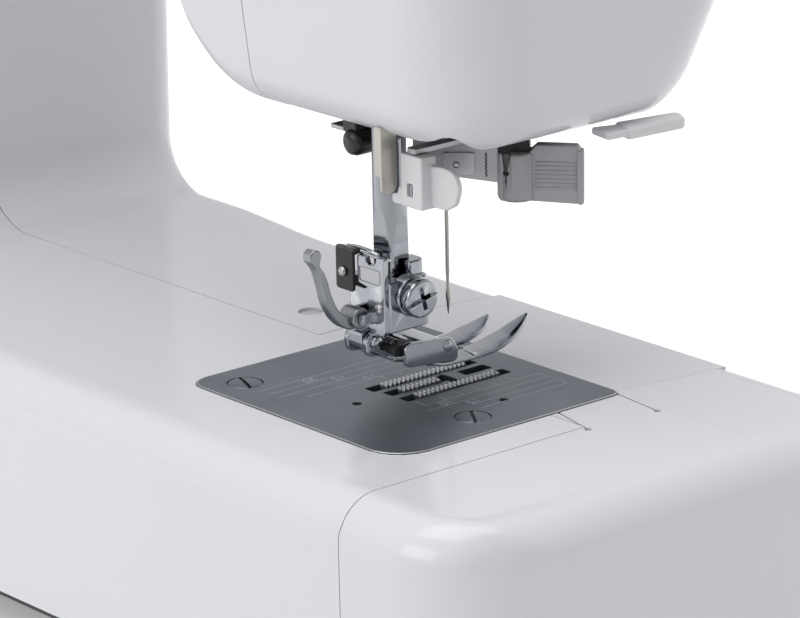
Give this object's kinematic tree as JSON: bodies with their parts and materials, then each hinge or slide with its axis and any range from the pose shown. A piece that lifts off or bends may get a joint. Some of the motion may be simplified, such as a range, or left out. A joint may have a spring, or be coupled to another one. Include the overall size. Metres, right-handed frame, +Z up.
{
  "type": "sewing machine",
  "caption": "Household sewing machine with free-arm bed, clip-on presser foot, needle threader, drop-in bobbin, dials and handwheel.",
  "frame": {"origin": "centre of the bounding box, on the surface that the feet stand on", "axes": "+X from the free end towards the handwheel, -Y towards the user, +Z up"},
  "size_m": [0.385, 0.1518, 0.29],
  "materials": {
    "shell_white": "moulded white plastic, glossy",
    "tray_dark": "dark matte moulding",
    "rubber_black": "matte rubber",
    "screw_steel": "plated screw",
    "frame_cast": "die-cast, machined",
    "plate_steel": "ground steel, blue-grey",
    "button_grey": "light grey plastic",
    "dog_steel": "hardened steel",
    "bright_steel": "turned steel",
    "dark_plastic": "black plastic",
    "bobbin_clear": "clear plastic, stood in for by glass",
    "bush_bronze": "sintered bronze",
    "belt_rubber": "toothed rubber belt",
    "motor_dark": "black painted steel can",
    "chrome_bar": "hard chrome",
    "needle_steel": "polished needle steel",
    "spring_steel": "oiled spring wire",
    "lever_black": "black plastic",
    "foot_chrome": "bright plated steel",
    "lever_steel": "satin plated steel",
    "clip_black": "blackened spring steel",
    "bracket_beige": "zinc-plated steel",
    "threader_metal": "pressed steel and grey plastic",
    "threader_grey": "grey plastic",
    "threader_white": "white plastic",
    "dial_white": "white plastic",
    "lamp_lens": "clear lens"
  },
  "bodies": {
    "root": {"front_shell": "shell_white", "rear_shell": "shell_white", "face_cover": "shell_white", "belt_cover": "shell_white", "base_tray": "tray_dark", "rubber_feet": "rubber_black", "case_screws": "screw_steel", "inner_frame": "frame_cast", "needle_plate": "plate_steel", "plate_screws": "screw_steel", "shaft_bushes": "bush_bronze", "timing_belt": "belt_rubber", "motor": "motor_dark", "motor_belt": "belt_rubber", "bar_bushes": "bush_bronze", "threader_post": "bracket_beige", "thread_cutter": "threader_white", "lamp": "lamp_lens", "power_inlet": "dark_plastic", "bobbin_case": "dark_plastic"},
    "wheel_shaft": {"upper_shaft": "bright_steel", "upper_pulleys": "dark_plastic", "handwheel": "shell_white", "needle_crank": "frame_cast"},
    "hook_shaft": {"lower_shaft": "bright_steel", "lower_pulley": "dark_plastic"},
    "motor_rotor": {"motor_pulley": "bright_steel"},
    "hook": {"hook_race": "bright_steel"},
    "bobbin_spool": {"bobbin": "bobbin_clear"},
    "cover_slide": {"hook_cover": "shell_white"},
    "release_button": {"cover_button": "button_grey"},
    "feed_carrier": {"feed_bar": "frame_cast"},
    "feed_teeth": {"feed_dog": "dog_steel"},
    "needle_slide": {"needle_bar": "chrome_bar", "needle_link": "frame_cast", "needle_clamp": "chrome_bar", "clamp_screw": "chrome_bar", "needle": "needle_steel"},
    "take_up": {"take_up_lever": "chrome_bar"},
    "presser": {"presser_bar": "chrome_bar", "presser_spring": "spring_steel", "ankle": "foot_chrome", "snap_clip": "clip_black"},
    "lifter": {"lifter_lever": "lever_black"},
    "ankle_screw": {"thumb_screw": "foot_chrome"},
    "foot_release": {"snap_lever": "lever_steel"},
    "foot": {"presser_foot": "foot_chrome", "foot_pin": "foot_chrome"},
    "threader": {"threader_slider": "threader_metal", "threader_lever": "threader_grey"},
    "threader_swing": {"threader_head": "threader_white"},
    "tension_knob": {"tension_dial": "dial_white"},
    "pattern_knob": {"pattern_dial": "dial_white"},
    "length_knob": {"length_dial": "dial_white"},
    "width_knob": {"width_dial": "dial_white"},
    "reverse": {"reverse_lever": "button_grey"},
    "winder": {"winder_spindle": "dial_white"},
    "spool_post": {"spool_pin": "dial_white"},
    "handle": {"carry_handle": "shell_white"},
    "switch_rocker": {"power_switch": "dark_plastic"}
  },
  "joints": [
    {"name": "wheel_turn", "type": "hinge", "parent": "root", "child": "wheel_shaft", "pos_m": [0.09, 0.00715, 0.229], "axis": [1, 0, 0], "continuous": true},
    {"name": "hook_shaft_turn", "type": "hinge", "parent": "root", "child": "hook_shaft", "pos_m": [-0.01, -0.00485, 0.024], "axis": [1, 0, 0], "continuous": true},
    {"name": "motor_turn", "type": "hinge", "parent": "root", "child": "motor_rotor", "pos_m": [0.13, 0.03915, 0.044], "axis": [1, 0, 0], "continuous": true},
    {"name": "hook_turn", "type": "hinge", "parent": "root", "child": "hook", "pos_m": [-0.11, -0.02285, 0.044], "axis": [0, 0, 1], "continuous": true},
    {"name": "bobbin_turn", "type": "hinge", "parent": "root", "child": "bobbin_spool", "pos_m": [-0.11, -0.02285, 0.049], "axis": [0, 0, 1], "continuous": true},
    {"name": "cover_lift", "type": "slide", "parent": "root", "child": "cover_slide", "axis": [0, 0, 1], "range_m": [0, 0.03]},
    {"name": "button_press", "type": "slide", "parent": "root", "child": "release_button", "axis": [0, 0, -1], "range_m": [0, 0.0015], "stiffness_N_per_m": 400, "springref_m": -0.001},
    {"name": "feed_travel", "type": "slide", "parent": "root", "child": "feed_carrier", "axis": [0, -1, 0], "range_m": [-0.0014, 0.0014]},
    {"name": "feed_drop", "type": "slide", "parent": "feed_carrier", "child": "feed_teeth", "axis": [0, 0, -1], "range_m": [0, 0.002], "stiffness_N_per_m": 600, "springref_m": -0.001},
    {"name": "needle_travel", "type": "slide", "parent": "root", "child": "needle_slide", "axis": [0, 0, -1], "range_m": [0, 0.03]},
    {"name": "take_up_swing", "type": "hinge", "parent": "root", "child": "take_up", "pos_m": [-0.11, -0.02285, 0.214], "axis": [1, 0, 0], "range_deg": [0, 68]},
    {"name": "lifter_turn", "type": "hinge", "parent": "root", "child": "lifter", "pos_m": [-0.099, 0.02315, 0.156], "axis": [0, -1, 0], "range_deg": [0, 20.1]},
    {"name": "presser_travel", "type": "slide", "parent": "root", "child": "presser", "axis": [0, 0, -1], "range_m": [0, 0.0046], "deforming": ["presser_spring"]},
    {"name": "thumb_screw_turn", "type": "hinge", "parent": "presser", "child": "ankle_screw", "pos_m": [-0.118, 0.02395, 0.089], "axis": [-1, 0, 0], "range_deg": [0, 180]},
    {"name": "snap_lever_press", "type": "hinge", "parent": "presser", "child": "foot_release", "pos_m": [-0.11, 0.03355, 0.0844], "axis": [1, 0, 0], "range_deg": [0, 8], "stiffness_Nm_per_rad": 0.05, "springref_deg": -5.73},
    {"name": "foot_tilt", "type": "hinge", "parent": "presser", "child": "foot", "pos_m": [-0.11, 0.03055, 0.0786], "axis": [1, 0, 0], "range_deg": [-10, 0]},
    {"name": "threader_travel", "type": "slide", "parent": "root", "child": "threader", "axis": [0, 0, -1], "range_m": [0, 0.011], "stiffness_N_per_m": 40, "springref_m": -0.02},
    {"name": "threader_turn", "type": "hinge", "parent": "threader", "child": "threader_swing", "pos_m": [-0.1195, 0.02395, 0.114], "axis": [0, 0, 1], "range_deg": [0, 15.1]},
    {"name": "tension_turn", "type": "hinge", "parent": "root", "child": "tension_knob", "pos_m": [-0.028, -0.07085, 0.228], "axis": [0, -1, 0], "range_deg": [-135, 135]},
    {"name": "pattern_turn", "type": "hinge", "parent": "root", "child": "pattern_knob", "pos_m": [0.118, -0.07085, 0.224], "axis": [0, -1, 0], "continuous": true},
    {"name": "length_turn", "type": "hinge", "parent": "root", "child": "length_knob", "pos_m": [0.076, -0.07085, 0.24], "axis": [0, -1, 0], "range_deg": [0, 270]},
    {"name": "width_turn", "type": "hinge", "parent": "root", "child": "width_knob", "pos_m": [0.076, -0.07085, 0.204], "axis": [0, -1, 0], "range_deg": [0, 270]},
    {"name": "reverse_press", "type": "hinge", "parent": "root", "child": "reverse", "pos_m": [0.118, -0.05285, 0.176], "axis": [1, 0, 0], "range_deg": [0, 16], "stiffness_Nm_per_rad": 0.4, "springref_deg": -5.73},
    {"name": "winder_turn", "type": "hinge", "parent": "root", "child": "winder", "pos_m": [0.126, -0.01885, 0.279], "axis": [0, 0, 1], "continuous": true},
    {"name": "spool_pin_raise", "type": "slide", "parent": "root", "child": "spool_post", "axis": [0, 0, 1], "range_m": [0, 0.034]},
    {"name": "handle_raise", "type": "hinge", "parent": "root", "child": "handle", "pos_m": [0.028, -0.00885, 0.269], "axis": [-1, 0, 0], "range_deg": [0, 90]},
    {"name": "switch_tip", "type": "hinge", "parent": "root", "child": "switch_rocker", "pos_m": [0.162, 0.04115, 0.066], "axis": [0, 1, 0], "range_deg": [-12, 12]}
  ],
  "couplings": [
    {"joint": "hook_shaft_turn", "follows": "wheel_turn", "ratio": 1},
    {"joint": "motor_turn", "follows": "wheel_turn", "ratio": 2.6438},
    {"joint": "hook_turn", "follows": "wheel_turn", "ratio": 2},
    {"joint": "lifter_turn", "follows": "presser_travel", "rad_per_m": 75.884},
    {"joint": "threader_turn", "follows": "threader_travel", "rad_per_m": 23.8}
  ]
}
